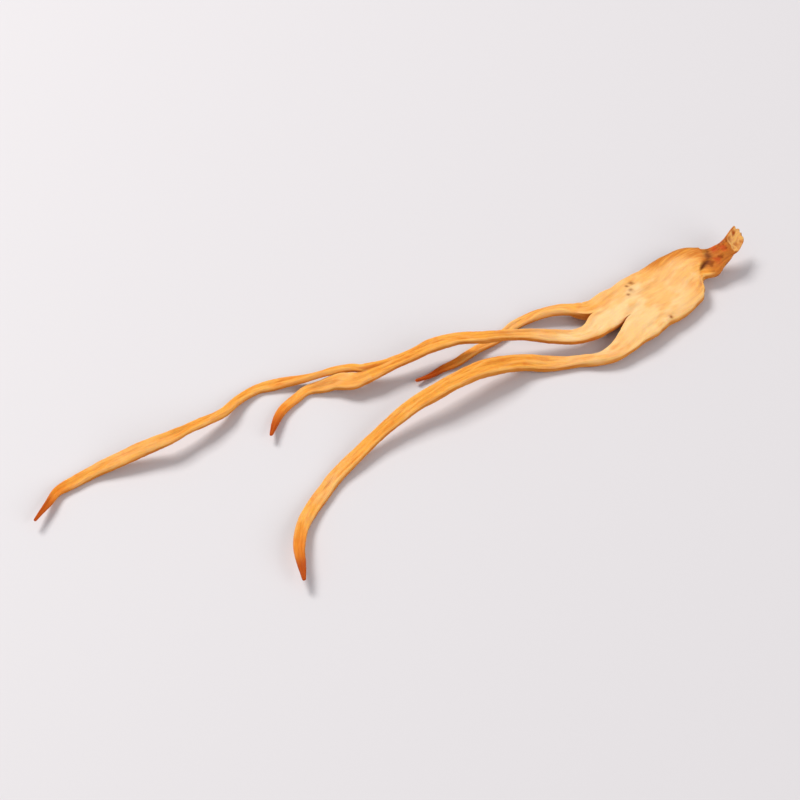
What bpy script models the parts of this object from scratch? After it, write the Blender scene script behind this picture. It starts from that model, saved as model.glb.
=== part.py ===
"""Dried cordyceps: one branching fruit body, lying loose on a flat surface.

The fruit body grew as one piece. A short foot, cut from its grain, opens into a flattened blade, and the
blade forks into a lower stalk and a short throat. The throat forks into an upper and a middle stalk, and the
middle stalk forks once more, into a long tip and a side tip. Every stretch between two forks is one object:
a soft tube that shrank, furrowed and twisted as it dried.

Sizes are in millimetres until a mesh is made, which is in metres. The foot is at +X, the long tip at -X,
+Z is up, and z = 0 is the surface that it lies on, with the origin under the middle of its footprint.
"""

from dataclasses import dataclass

import bpy
import numpy as np

MM = 0.001

# Driving dimensions: full width and thickness of each stretch, in millimetres
BLADE_WIDTH = 9.2
BLADE_THICKNESS = 2.1
THROAT_WIDTH = 5.2
THROAT_THICKNESS = 1.7
UPPER_WIDTH = 1.2
UPPER_THICKNESS = 0.8
MIDDLE_WIDTH = 1.7
MIDDLE_THICKNESS = 1.05
LOWER_WIDTH = 1.8
LOWER_THICKNESS = 1.05
LONG_TIP_WIDTH = 1.7
LONG_TIP_THICKNESS = 0.95
SIDE_TIP_WIDTH = 1.9
SIDE_TIP_THICKNESS = 0.95

# Width of one of the two halves at each fork, where they part
LOWER_ROOT_WIDTH = 4.0
UPPER_ROOT_WIDTH = 2.2
LONG_TIP_ROOT_WIDTH = 0.95

# Gap between two stretches at a fork, and the length of a facet along a stretch
GAP = 0.3
RING_STEP = 0.9
STALK_COLUMNS = 16
BLADE_COLUMNS = 28

# Section of a stretch: how full the flattened round is, and how far across it a furrow or a notch spreads
FULLNESS = 0.8
FURROW_SPREAD = 0.42
NOTCH_SPREAD = 0.2
NOTCH_DEPTH = 0.55
NOTCH_RUN = 8.0
RIDGE_TURN = 26.0
TIP_LENGTH = 0.3

# Cut end of the foot: slant of the cut, the run that it reaches along, and the hollow inside the rim
CUT_SLANT_ACROSS = 0.33
CUT_SLANT_UP = 1.3
CUT_RUN = 4.0
HOLLOW_SHARE = 0.66
HOLLOW_FLOOR_SHARE = 0.4
HOLLOW_DEPTH = 0.35

# Place of the middle of the footprint in the frame of the routes
FOOTPRINT_MIDDLE = (0.08, -1.10)


@dataclass
class Stretch:
    """A stretch between two forks.

    A row of its route holds x, y, the lift of its underside over the surface, its shares of the full width
    and thickness, and its roll in degrees, which raises its edge on the lower side.
    """

    name: str
    width: float
    thickness: float
    route: tuple
    furrow: float
    ridges: int
    ridge_height: float
    colour: tuple
    roughness: float
    columns: int = STALK_COLUMNS


FOOT_AND_BLADE = Stretch(
    name="foot_and_blade",
    width=BLADE_WIDTH,
    thickness=BLADE_THICKNESS,
    route=(
        (39.8, 23.5, 2.28, 0.245, 0.84, -41),
        (39.0, 22.7, 1.85, 0.23, 0.86, -32),
        (38.2, 22.1, 1.40, 0.28, 0.86, -20),
        (37.4, 21.6, 1.00, 0.34, 0.83, -12),
        (36.6, 21.3, 0.72, 0.44, 0.81, -8),
        (35.6, 21.3, 0.50, 0.49, 0.81, -5),
        (34.6, 20.8, 0.30, 0.64, 0.86, -2),
        (33.3, 19.5, 0.10, 0.78, 0.93, 0),
        (32.1, 17.9, -0.08, 0.92, 0.98, 1),
        (30.8, 16.7, -0.15, 0.98, 1.00, 2),
        (29.2, 15.5, -0.15, 0.97, 1.00, 3),
        (27.8, 14.3, 0.00, 0.97, 0.95, 2),
        (26.6, 13.1, 0.25, 1.00, 0.90, 0),
    ),
    furrow=0.25,
    ridges=7,
    ridge_height=0.13,
    colour=(0.82, 0.50, 0.20),
    roughness=0.7,
    columns=BLADE_COLUMNS,
)

THROAT = Stretch(
    name="throat",
    width=THROAT_WIDTH,
    thickness=THROAT_THICKNESS,
    route=(
        (24.0, 13.3, 0.45, 1.00, 0.92, 0),
        (22.9, 12.5, 0.58, 1.00, 0.92, 0),
    ),
    furrow=0.3,
    ridges=5,
    ridge_height=0.10,
    colour=(0.78, 0.43, 0.15),
    roughness=0.7,
)

UPPER_STALK = Stretch(
    name="upper_stalk",
    width=UPPER_WIDTH,
    thickness=UPPER_THICKNESS,
    route=(
        (20.9, 13.8, 0.64, 1.43, 1.42, 4),
        (19.7, 13.9, 0.70, 1.35, 1.27, 12),
        (18.0, 13.8, 0.55, 1.40, 1.35, 28),
        (16.3, 13.5, 0.30, 1.42, 1.30, 25),
        (14.6, 12.9, 0.10, 1.10, 0.98, 0),
        (13.3, 12.1, -0.06, 1.00, 0.90, -8),
        (12.2, 10.8, -0.06, 0.95, 0.88, 0),
        (10.9, 9.6, -0.06, 0.98, 0.90, 10),
        (9.3, 8.5, 0.00, 1.04, 0.88, 20),
        (7.8, 7.2, 0.10, 0.98, 0.88, 10),
        (6.5, 6.2, 0.05, 0.87, 0.82, 0),
        (5.0, 5.4, -0.05, 0.74, 0.73, 0),
        (3.5, 4.2, 0.10, 0.55, 0.59, 10),
        (2.1, 3.3, 0.45, 0.32, 0.42, 20),
    ),
    furrow=0.45,
    ridges=4,
    ridge_height=0.07,
    colour=(0.72, 0.33, 0.08),
    roughness=0.7,
)

MIDDLE_STALK = Stretch(
    name="middle_stalk",
    width=MIDDLE_WIDTH,
    thickness=MIDDLE_THICKNESS,
    route=(
        (22.1, 10.1, 0.78, 1.32, 1.20, -3),
        (20.4, 9.3, 0.95, 1.12, 1.10, -5),
        (17.7, 9.0, 1.40, 0.98, 1.02, -12),
        (14.9, 8.8, 1.90, 0.86, 0.95, -6),
        (12.4, 8.4, 2.25, 0.82, 0.91, 4),
        (9.6, 7.9, 2.35, 0.96, 0.94, 10),
        (6.7, 7.8, 2.20, 0.92, 0.94, 2),
        (4.0, 7.1, 1.95, 0.96, 0.97, -8),
        (1.2, 5.7, 1.65, 0.87, 0.91, -6),
        (-1.2, 4.5, 1.40, 1.00, 0.93, 0),
        (-3.5, 3.5, 1.15, 1.62, 0.98, 2),
    ),
    furrow=0.5,
    ridges=4,
    ridge_height=0.10,
    colour=(0.78, 0.40, 0.11),
    roughness=0.7,
)

LOWER_STALK = Stretch(
    name="lower_stalk",
    width=LOWER_WIDTH,
    thickness=LOWER_THICKNESS,
    route=(
        (26.1, 8.4, 0.30, 1.57, 1.26, 4),
        (24.5, 7.0, 0.12, 1.27, 1.21, 14),
        (22.9, 6.5, 0.00, 1.00, 1.15, 20),
        (21.2, 6.4, -0.06, 0.83, 1.03, 10),
        (18.9, 6.1, -0.08, 0.95, 1.05, 0),
        (16.6, 5.8, 0.15, 1.08, 1.07, -8),
        (14.5, 5.5, 0.65, 1.16, 1.09, -5),
        (12.0, 4.5, 1.30, 1.29, 1.16, 0),
        (9.6, 3.3, 1.80, 1.27, 1.17, 6),
        (6.9, 1.5, 2.10, 1.21, 1.14, 10),
        (3.8, -0.7, 2.05, 1.10, 1.06, 4),
        (1.3, -2.4, 1.75, 0.98, 0.98, -4),
        (-1.0, -4.5, 1.30, 0.87, 0.91, -8),
        (-3.3, -6.8, 0.75, 0.87, 0.91, 0),
        (-5.4, -9.2, 0.25, 0.94, 0.93, 8),
        (-7.0, -11.1, -0.06, 0.95, 0.93, 10),
        (-8.4, -13.5, -0.08, 0.95, 0.95, 4),
        (-9.5, -15.6, 0.05, 0.92, 0.92, -4),
        (-10.4, -17.8, 0.35, 0.86, 0.87, -12),
        (-10.9, -20.2, 0.75, 0.78, 0.82, -12),
        (-11.0, -22.6, 1.10, 0.70, 0.76, 0),
        (-10.7, -24.9, 1.30, 0.55, 0.64, 10),
        (-10.4, -26.9, 1.40, 0.28, 0.39, 15),
    ),
    furrow=0.5,
    ridges=4,
    ridge_height=0.10,
    colour=(0.78, 0.40, 0.11),
    roughness=0.7,
)

LONG_TIP = Stretch(
    name="long_tip",
    width=LONG_TIP_WIDTH,
    thickness=LONG_TIP_THICKNESS,
    route=(
        (-5.6, 4.3, 1.20, 0.50, 0.82, 10),
        (-7.4, 4.0, 1.10, 0.52, 0.82, 25),
        (-9.2, 3.5, 0.85, 0.66, 0.88, 40),
        (-10.9, 3.2, 0.55, 0.63, 0.84, 25),
        (-12.6, 3.0, 0.25, 0.74, 0.90, 5),
        (-14.4, 2.7, 0.00, 0.80, 0.92, -10),
        (-16.2, 2.2, -0.08, 0.70, 0.84, -5),
        (-18.0, 0.7, 0.15, 0.69, 0.82, 10),
        (-20.1, -2.4, 0.75, 0.84, 0.92, 25),
        (-21.9, -4.0, 1.25, 0.82, 0.90, 15),
        (-23.7, -5.3, 1.60, 0.72, 0.86, 0),
        (-26.2, -7.1, 1.65, 0.95, 1.00, -10),
        (-28.9, -8.2, 1.20, 1.11, 1.06, -5),
        (-31.5, -9.3, 0.55, 1.11, 1.08, 5),
        (-34.1, -10.4, 0.00, 0.98, 0.97, 8),
        (-36.6, -12.1, -0.08, 0.88, 0.92, 0),
        (-38.2, -13.5, 0.15, 0.65, 0.80, -10),
        (-39.2, -15.8, 0.60, 0.47, 0.66, -20),
        (-40.3, -18.2, 1.10, 0.22, 0.38, -20),
    ),
    furrow=0.5,
    ridges=4,
    ridge_height=0.08,
    colour=(0.75, 0.36, 0.09),
    roughness=0.7,
)

SIDE_TIP = Stretch(
    name="side_tip",
    width=SIDE_TIP_WIDTH,
    thickness=SIDE_TIP_THICKNESS,
    route=(
        (-5.4, 2.4, 0.85, 1.15, 1.04, -4),
        (-7.3, 2.6, 0.50, 1.01, 0.98, -10),
        (-8.9, 2.3, 0.15, 0.82, 0.96, -15),
        (-10.4, 2.0, -0.06, 0.66, 0.88, -5),
        (-11.9, 0.6, -0.08, 0.61, 0.84, 5),
        (-13.3, -1.2, 0.05, 0.56, 0.80, 15),
        (-14.1, -3.4, 0.40, 0.46, 0.69, 20),
        (-14.5, -5.4, 0.90, 0.24, 0.42, 20),
    ),
    furrow=0.5,
    ridges=4,
    ridge_height=0.08,
    colour=(0.74, 0.34, 0.08),
    roughness=0.7,
)


def clear_scene():
    for old in list(bpy.data.objects):
        bpy.data.objects.remove(old, do_unlink=True)


def make_collection(name):
    collection = bpy.data.collections.new(name)
    bpy.context.scene.collection.children.link(collection)
    return collection


def make_material(stretch):
    material = bpy.data.materials.new(stretch.name)
    material.use_nodes = True
    surface = material.node_tree.nodes["Principled BSDF"]
    surface.inputs["Base Color"].default_value = (*stretch.colour, 1.0)
    surface.inputs["Roughness"].default_value = stretch.roughness
    surface.inputs["Metallic"].default_value = 0.0
    return material


def unit(vectors):
    return vectors / np.linalg.norm(vectors, axis=-1, keepdims=True)


def stations_of(stretch):
    """Rows of x, y, z of the middle, width, thickness and roll in radians, from the rows of the route."""
    rows = np.array(stretch.route, float)
    width = rows[:, 3] * stretch.width
    thickness = rows[:, 4] * stretch.thickness
    roll = np.radians(rows[:, 5])
    half_height = np.hypot(thickness / 2 * np.cos(roll), width / 2 * np.sin(roll))
    return np.column_stack((rows[:, 0], rows[:, 1], rows[:, 2] + half_height, width, thickness, roll))


def smooth_run(stations, start_direction, cut_start, cut_end):
    """Places along a cubic curve through every station, RING_STEP apart, with its rows and directions there.

    The slope at a station is that of the stations beside it. The run is cut short at its two ends.
    """
    knots = np.concatenate(([0.0], np.cumsum(np.linalg.norm(np.diff(stations[:, :3], axis=0), axis=1))))
    slopes = np.gradient(stations, knots, axis=0)
    if start_direction is not None:
        slopes[0, :3] = start_direction
    count = round((knots[-1] - cut_start - cut_end) / RING_STEP) + 1
    places = np.linspace(cut_start, knots[-1] - cut_end, count)
    before = np.clip(np.searchsorted(knots, places, side="right") - 1, 0, len(knots) - 2)
    span = (knots[before + 1] - knots[before])[:, None]
    t = (places[:, None] - knots[before][:, None]) / span
    rows = (
        (2 * t**3 - 3 * t**2 + 1) * stations[before]
        + (t**3 - 2 * t**2 + t) * span * slopes[before]
        + (3 * t**2 - 2 * t**3) * stations[before + 1]
        + (t**3 - t**2) * span * slopes[before + 1]
    )
    directions = (
        (6 * t**2 - 6 * t) / span * (stations[before] - stations[before + 1])
        + (3 * t**2 - 4 * t + 1) * slopes[before]
        + (3 * t**2 - 2 * t) * slopes[before + 1]
    )
    return places, rows, unit(directions[:, :3])


def frames(rows, along):
    """The two directions of the section at every ring: across the run, and up."""
    level = unit(np.cross((0.0, 0.0, 1.0), along))
    raised = np.cross(along, level)
    roll = rows[:, 5][:, None]
    across = level * np.cos(roll) + raised * np.sin(roll)
    up = raised * np.cos(roll) - level * np.sin(roll)
    return across, up


def sections(stretch, places, rows, fork_place):
    """Places across and up of every point of every ring.

    A section is a flattened round with a furrow along its top and a shallower one beneath, and with low
    ridges that turn slowly round the run. Before a fork a notch deepens between the two halves.
    """
    angle = np.linspace(0, 2 * np.pi, stretch.columns, endpoint=False)[None, :]
    half_width = rows[:, 3][:, None] / 2
    half_thickness = rows[:, 4][:, None] / 2
    share = np.cos(angle)
    rise = np.sign(np.sin(angle)) * np.abs(np.sin(angle)) ** FULLNESS
    top = np.where(rise > 0, 1.0, 0.5)
    furrow = stretch.furrow * top * np.exp(-((share / FURROW_SPREAD) ** 2))
    notch = np.zeros_like(places)[:, None]
    if fork_place is not None:
        reached = np.clip(1 - (places[-1] - places) / NOTCH_RUN, 0, 1)[:, None] ** 2
        notch = NOTCH_DEPTH * reached * np.exp(-(((share - fork_place) / NOTCH_SPREAD) ** 2))
    ridge = stretch.ridge_height * np.cos(stretch.ridges * angle + 2 * np.pi * places[:, None] / RIDGE_TURN)
    taper = np.clip(half_thickness / (stretch.thickness / 2), 0, 1)
    outward_across = half_thickness * share
    outward_up = half_width * rise
    length = np.hypot(outward_across, outward_up)
    across = half_width * share + ridge * taper * outward_across / length
    up = half_thickness * rise * (1 - furrow) * (1 - notch) + ridge * taper * outward_up / length
    return across, up


def rings_of(stretch, places, rows, along, fork_place=None, is_foot=False):
    """Points of every ring, from the first section to the last."""
    across, up = frames(rows, along)
    place_across, place_up = sections(stretch, places, rows, fork_place)
    rings = (
        rows[:, None, :3]
        + place_across[:, :, None] * across[:, None, :]
        + place_up[:, :, None] * up[:, None, :]
    )
    if is_foot:
        slant = CUT_SLANT_ACROSS * place_across + CUT_SLANT_UP * place_up
        reached = np.clip(1 - places / CUT_RUN, 0, 1)[:, None] ** 2
        rings = rings + (slant * reached)[:, :, None] * along[:, None, :]
        rings = np.concatenate((hollow(rings[0], along[0]), rings))
    return rings


def hollow(rim, along):
    """Two rings inside the rim of the cut: the floor of the hollow, then its mouth."""
    middle = rim.mean(axis=0)
    floor = middle + HOLLOW_FLOOR_SHARE * (rim - middle) + HOLLOW_DEPTH * along
    mouth = middle + HOLLOW_SHARE * (rim - middle)
    return np.array((floor, mouth))


def loft(stretch, rings, tip, collection):
    """Skins the rings, closes the start with a flat face, and the end with a flat face or a tip."""
    count, columns = rings.shape[:2]
    corner = np.arange(count * columns).reshape(count, columns)
    beside = np.roll(corner, -1, axis=1)
    skin = np.stack((corner[:-1], beside[:-1], beside[1:], corner[1:]), axis=-1).reshape(-1, 4)
    points = rings.reshape(-1, 3)
    faces = [tuple(face) for face in skin.tolist()]
    faces.append(tuple(reversed(corner[0].tolist())))
    if tip is None:
        faces.append(tuple(corner[-1].tolist()))
    else:
        points = np.vstack((points, tip))
        faces += [(a, b, len(points) - 1) for a, b in zip(corner[-1].tolist(), beside[-1].tolist())]
    shift = np.array((*FOOTPRINT_MIDDLE, 0.0))
    mesh = bpy.data.meshes.new(stretch.name)
    mesh.from_pydata(((points - shift) * MM).tolist(), [], faces)
    mesh.materials.append(make_material(stretch))
    mesh.shade_smooth()
    piece = bpy.data.objects.new(stretch.name, mesh)
    collection.objects.link(piece)
    return piece


def make_surface_cutter(collection):
    """A block whose top is the surface that the fruit body lies on."""
    side = 0.2
    bpy.ops.mesh.primitive_cube_add(size=side, location=(0, 0, -side / 2))
    cutter = bpy.context.object
    cutter.name = "surface_cutter"
    cutter.hide_render = True
    cutter.display_type = "WIRE"
    for other in list(cutter.users_collection):
        other.objects.unlink(cutter)
    collection.objects.link(cutter)
    return cutter


def press_flat(piece, cutter):
    """Takes off what would lie under the surface, which leaves a flat face where the piece rests."""
    cut = piece.modifiers.new("rests_flat", "BOOLEAN")
    cut.operation = "DIFFERENCE"
    cut.solver = "EXACT"
    cut.object = cutter


def root_station(parent_run, side, root_width):
    """First station of one half at a fork: the middle of its share of the parent's last section.

    The side is -1 for the upper half and +1 for the lower half.
    """
    places, rows, along = parent_run
    across, up = frames(rows, along)
    end = rows[-1]
    offset = side * (end[3] - root_width) / 2
    share = offset / (end[3] / 2)
    thickness = end[4] * (1 - share**2) ** (FULLNESS / 2)
    middle = end[:3] + offset * across[-1]
    width = root_width - GAP
    return np.array((*middle, width, thickness, end[5])), along[-1]


def build_stretch(stretch, collection, start=None, forks=None):
    """Makes one stretch. The start is a root station and its direction, and forks is the upper half's width."""
    stations = stations_of(stretch)
    direction = None
    if start is not None:
        root, direction = start
        stations = np.vstack((root, stations))
    whole = smooth_run(stations, direction, 0.0, 0.0)
    cut_start = 0.0 if start is None else GAP / 2
    cut_end = 0.0 if forks is None else GAP / 2
    places, rows, along = smooth_run(stations, direction, cut_start, cut_end)
    fork_place = None if forks is None else 2 * forks / rows[-1, 3] - 1
    rings = rings_of(stretch, places, rows, along, fork_place, is_foot=start is None)
    tip = None
    if forks is None:
        tip = rows[-1, :3] + TIP_LENGTH * unit(rows[-1, :3] - rows[-2, :3])
    return loft(stretch, rings, tip, collection), whole


def main():
    clear_scene()
    parts = make_collection("dried_cordyceps")
    cutters = make_collection("cutters")
    pieces = []

    throat_root_width = BLADE_WIDTH - LOWER_ROOT_WIDTH
    piece, blade = build_stretch(FOOT_AND_BLADE, parts, forks=throat_root_width)
    pieces.append(piece)
    start = root_station(blade, 1, LOWER_ROOT_WIDTH)
    pieces.append(build_stretch(LOWER_STALK, parts, start)[0])

    start = root_station(blade, -1, throat_root_width)
    piece, throat = build_stretch(THROAT, parts, start, forks=UPPER_ROOT_WIDTH)
    pieces.append(piece)
    start = root_station(throat, -1, UPPER_ROOT_WIDTH)
    pieces.append(build_stretch(UPPER_STALK, parts, start)[0])

    start = root_station(throat, 1, THROAT_WIDTH - UPPER_ROOT_WIDTH)
    piece, middle = build_stretch(MIDDLE_STALK, parts, start, forks=LONG_TIP_ROOT_WIDTH)
    pieces.append(piece)
    start = root_station(middle, -1, LONG_TIP_ROOT_WIDTH)
    pieces.append(build_stretch(LONG_TIP, parts, start)[0])
    side_tip_root_width = middle[1][-1, 3] - LONG_TIP_ROOT_WIDTH
    start = root_station(middle, 1, side_tip_root_width)
    pieces.append(build_stretch(SIDE_TIP, parts, start)[0])

    cutter = make_surface_cutter(cutters)
    for piece in pieces:
        press_flat(piece, cutter)


main()
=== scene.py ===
"""Dried cordyceps: one branching fruit body, lying loose on a pale surface.

The skin is one closed mesh that follows the run of the fruit body from its cut foot to its four tips. The
sizes of the fruit body are in millimetres, and its finished mesh is in metres, in the frame of the solids.
The surface, the camera's distance and the lights are in metres.
"""

import itertools
import math
from types import SimpleNamespace

import bpy
import numpy as np
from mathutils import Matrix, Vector


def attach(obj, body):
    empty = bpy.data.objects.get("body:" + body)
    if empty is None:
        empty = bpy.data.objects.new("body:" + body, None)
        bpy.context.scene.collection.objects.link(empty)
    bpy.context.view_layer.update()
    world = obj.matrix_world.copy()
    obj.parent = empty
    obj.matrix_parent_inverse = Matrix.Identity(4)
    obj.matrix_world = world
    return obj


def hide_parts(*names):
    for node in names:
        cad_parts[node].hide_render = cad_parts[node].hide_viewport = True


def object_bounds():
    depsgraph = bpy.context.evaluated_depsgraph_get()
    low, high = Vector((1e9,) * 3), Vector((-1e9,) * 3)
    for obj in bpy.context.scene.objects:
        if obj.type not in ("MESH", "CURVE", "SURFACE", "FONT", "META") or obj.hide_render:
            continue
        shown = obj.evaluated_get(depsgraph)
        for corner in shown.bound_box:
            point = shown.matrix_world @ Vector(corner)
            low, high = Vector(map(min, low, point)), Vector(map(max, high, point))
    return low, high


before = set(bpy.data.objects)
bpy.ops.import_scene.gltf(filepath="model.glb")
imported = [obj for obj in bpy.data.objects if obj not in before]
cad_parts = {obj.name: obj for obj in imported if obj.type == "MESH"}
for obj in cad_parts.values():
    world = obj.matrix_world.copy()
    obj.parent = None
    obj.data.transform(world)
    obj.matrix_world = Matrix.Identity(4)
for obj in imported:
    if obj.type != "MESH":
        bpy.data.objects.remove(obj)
cad_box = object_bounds()


# Foot and blade
# The foot is the short brown base, cut slantwise, with a shallow hollow inside its rim. It opens at once
# into the flat blade, where three stalks grew fused side by side and dried to a thin slab.

BLADE_WIDTH = 9.2
BLADE_THICKNESS = 2.1
BLADE_COLUMNS = 168
LOWER_ROOT_WIDTH = 4.0
THROAT_ROOT_WIDTH = BLADE_WIDTH - LOWER_ROOT_WIDTH

# The rings lie one step apart, and the outline of a section is measured in this many steps
RING_STEP = 0.17
OUTLINE_STEPS = 1440

# After a fork a stretch turns from its parent's section into its own over this run. Its thickness there is
# that of a section of this fullness
ROOT_RUN = 2.4
ROOT_FULLNESS = 0.8

# How far the sections lag behind a bend, and how many rings back they look for it
TURN_LAG = 0.9
TURN_RINGS = 24

# How unevenly the flesh dried: shares by which the edges and the thickness swell and shrink, the drift of a
# furrow as a share of the half width, and the most that all furrows together take off the rise
EDGE_SWELL = 0.035
THICKNESS_SWELL = 0.06
FURROW_DRIFT = 0.13
DEEPEST_FURROW = 0.8

# The notch before a fork: what it takes off the rise and its run, and its spread in shares of the half width
BLADE_NOTCH = (0.22, 4.5)
NOTCH_SPREAD = 0.17

# The cut of the foot: how far it slants along the run for each millimetre across and up, the run in which
# that ends, the fullness of the section at the cut, and the depth of its floor
CUT_SLANT_ACROSS = 0.15
CUT_SLANT_UP = 1.55
CUT_RUN = 4.0
CUT_FULLNESS = 0.46
CUT_FLOOR = 0.345

# How far the flow and the flat sheet go on, from the rim of the cut to the middle of its floor
CUT_FLOW = 1.2
CUT_SHEET = 1.9

# Ways that stand for no tip and no edge close by
NO_TIP = 99.0
NO_EDGE = 9.0

# Columns of a station's row, after those of its middle, and of a point's traits
WIDTH, THICKNESS, ROLL = 3, 4, 5
TRAIT_COUNT = 5
TO_TIP, TO_EDGE, SUNK, HALF_THICKNESS, ON_CUT = range(TRAIT_COUNT)

# Rows: x, y, lift of the underside, shares of the full width and thickness, roll in degrees
FOOT_AND_BLADE_ROUTE = (
    (39.8, 23.5, 2.28, 0.245, 0.84, -41),
    (39.0, 22.7, 1.85, 0.23, 0.86, -32),
    (38.2, 22.1, 1.40, 0.28, 0.86, -20),
    (37.4, 21.6, 1.00, 0.34, 0.83, -12),
    (36.6, 21.3, 0.72, 0.44, 0.81, -8),
    (35.6, 21.3, 0.50, 0.49, 0.81, -5),
    (34.6, 20.8, 0.30, 0.64, 0.86, -2),
    (33.3, 19.5, 0.10, 0.78, 0.93, 0),
    (32.1, 17.9, -0.08, 0.92, 0.98, 1),
    (30.8, 16.7, -0.15, 0.98, 1.00, 2),
    (29.2, 15.5, -0.15, 0.97, 1.00, 3),
    (27.8, 14.3, 0.00, 0.97, 0.95, 2),
    (26.6, 13.1, 0.25, 1.00, 0.90, 0),
)

# Rings of the cut face: share of the rim, and how far in. The floor of the hollow comes first
CUT_FACE_RINGS = (
    (0.07, 0.34), (0.15, 0.33), (0.23, 0.31), (0.31, 0.28), (0.39, 0.24), (0.47, 0.20), (0.55, 0.15),
    (0.63, 0.11), (0.71, 0.07), (0.79, 0.03), (0.86, 0.00), (0.92, -0.02), (0.965, -0.02), (0.99, -0.005),
)


def unit(vectors):
    """Each vector divided by its length."""
    return vectors / np.linalg.norm(vectors, axis=-1, keepdims=True)


def smooth_step(t):
    """Rises from 0 to 1 with level ends: three squares less two cubes."""
    t = np.clip(t, 0, 1)
    return 3 * t**2 - 2 * t**3


def bell(away, width):
    """1 at the middle, falling off to both sides: e to the power of minus the square of away over width."""
    return np.exp(-((away / width) ** 2))


def lengths_along(line):
    """How far along a line each of its points is: the running sum of the distances between them."""
    return np.concatenate(([0.0], np.cumsum(np.linalg.norm(np.diff(line, axis=0), axis=1))))


def stations_of(route, width, thickness):
    """Rows of x, y, z of the middle, width, thickness and roll in radians, from the rows of a route.

    The middle is above the underside by half the height of the section. The square of that half is the sum
    of the squares of the half thickness times the cosine of the roll, and of the half width times its sine.
    """
    x, y, lift, width_share, thickness_share, roll = np.array(route, float).T
    widths = width_share * width
    thicknesses = thickness_share * thickness
    roll = np.radians(roll)
    half_height = np.hypot(thicknesses / 2 * np.cos(roll), widths / 2 * np.sin(roll))
    return np.column_stack((x, y, lift + half_height, widths, thicknesses, roll))


def smooth_run(stations, first_direction=None):
    """Places, rows and directions, RING_STEP apart, on a cubic curve through every station.

    Between two stations a row is the cubic blend of their rows and slopes, and the slope at a station is
    that of the stations beside it.
    """
    knots = lengths_along(stations[:, :3])
    slopes = np.gradient(stations, knots, axis=0)
    if first_direction is not None:
        slopes[0, :3] = first_direction
    places = np.linspace(0, knots[-1], round(knots[-1] / RING_STEP) + 1)
    before = np.clip(np.searchsorted(knots, places, side="right") - 1, 0, len(knots) - 2)
    span = (knots[before + 1] - knots[before])[:, None]
    t = (places[:, None] - knots[before][:, None]) / span
    rows = (
        (2 * t**3 - 3 * t**2 + 1) * stations[before]
        + (t**3 - 2 * t**2 + t) * span * slopes[before]
        + (3 * t**2 - 2 * t**3) * stations[before + 1]
        + (t**3 - t**2) * span * slopes[before + 1]
    )
    directions = (
        (6 * t**2 - 6 * t) / span * (stations[before] - stations[before + 1])
        + (3 * t**2 - 4 * t + 1) * slopes[before]
        + (3 * t**2 - 2 * t) * slopes[before + 1]
    )
    return places, rows, unit(directions[:, :3])


def slow_turn(along):
    """Directions that lag behind, so that the sections don't cross on the inner side of a bend.

    Each is the average over the way before it, by weights that fall off exponentially over TURN_LAG.
    """
    weights = np.exp(-RING_STEP * np.arange(TURN_RINGS) / TURN_LAG)
    weights = weights / weights.sum()
    padded = np.vstack((np.repeat(along[:1], TURN_RINGS - 1, axis=0), along))
    return unit(np.stack([np.convolve(padded[:, axis], weights, "valid") for axis in range(3)], axis=1))


def section_axes(rows, along):
    """The two directions of the section at every ring: across the run, and up.

    Across starts as straight up crossed with the direction of the run, and up as that direction crossed with
    across. The roll then turns both about the run.
    """
    level = unit(np.cross((0.0, 0.0, 1.0), along))
    raised = np.cross(along, level)
    roll = rows[:, ROLL][:, None]
    across = level * np.cos(roll) + raised * np.sin(roll)
    up = raised * np.cos(roll) - level * np.sin(roll)
    return across, up


def column_angles(count, aspect, fork_share=None):
    """Angles of the columns round a section, at even steps of its outline, and the column of the fork.

    The outline of an ellipse of that aspect is summed over fine steps of the angle, and the angles are read
    back from its length. Before a fork the steps stretch a little, so that a column lies at its share of the
    half width on the top face, and its mirror image beneath.
    """
    angle = np.linspace(0, 2 * np.pi, OUTLINE_STEPS + 1)
    length = lengths_along(np.column_stack((aspect * np.cos(angle), np.sin(angle))))
    length = length / length[-1]
    column = np.arange(count)
    if fork_share is None:
        return np.interp(column / count, length, angle), None
    fork_length = np.interp(math.acos(fork_share), angle, length)
    fork_column = round(fork_length * count)
    fractions = np.interp(
        column, (0, fork_column, count - fork_column, count), (0, fork_length, 1 - fork_length, 1)
    )
    return np.interp(fractions, length, angle), fork_column


def wander(places, length, seed):
    """A slow swing between about -1 and 1: three sines of unlike lengths and random phases."""
    phases = np.random.default_rng(seed).uniform(0, 2 * np.pi, 3)
    return (
        np.sin(2 * np.pi * places / length + phases[0])
        + 0.6 * np.sin(2 * np.pi * places / (0.43 * length) + phases[1])
        + 0.35 * np.sin(2 * np.pi * places / (0.21 * length) + phases[2])
    ) / 1.6


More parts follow.
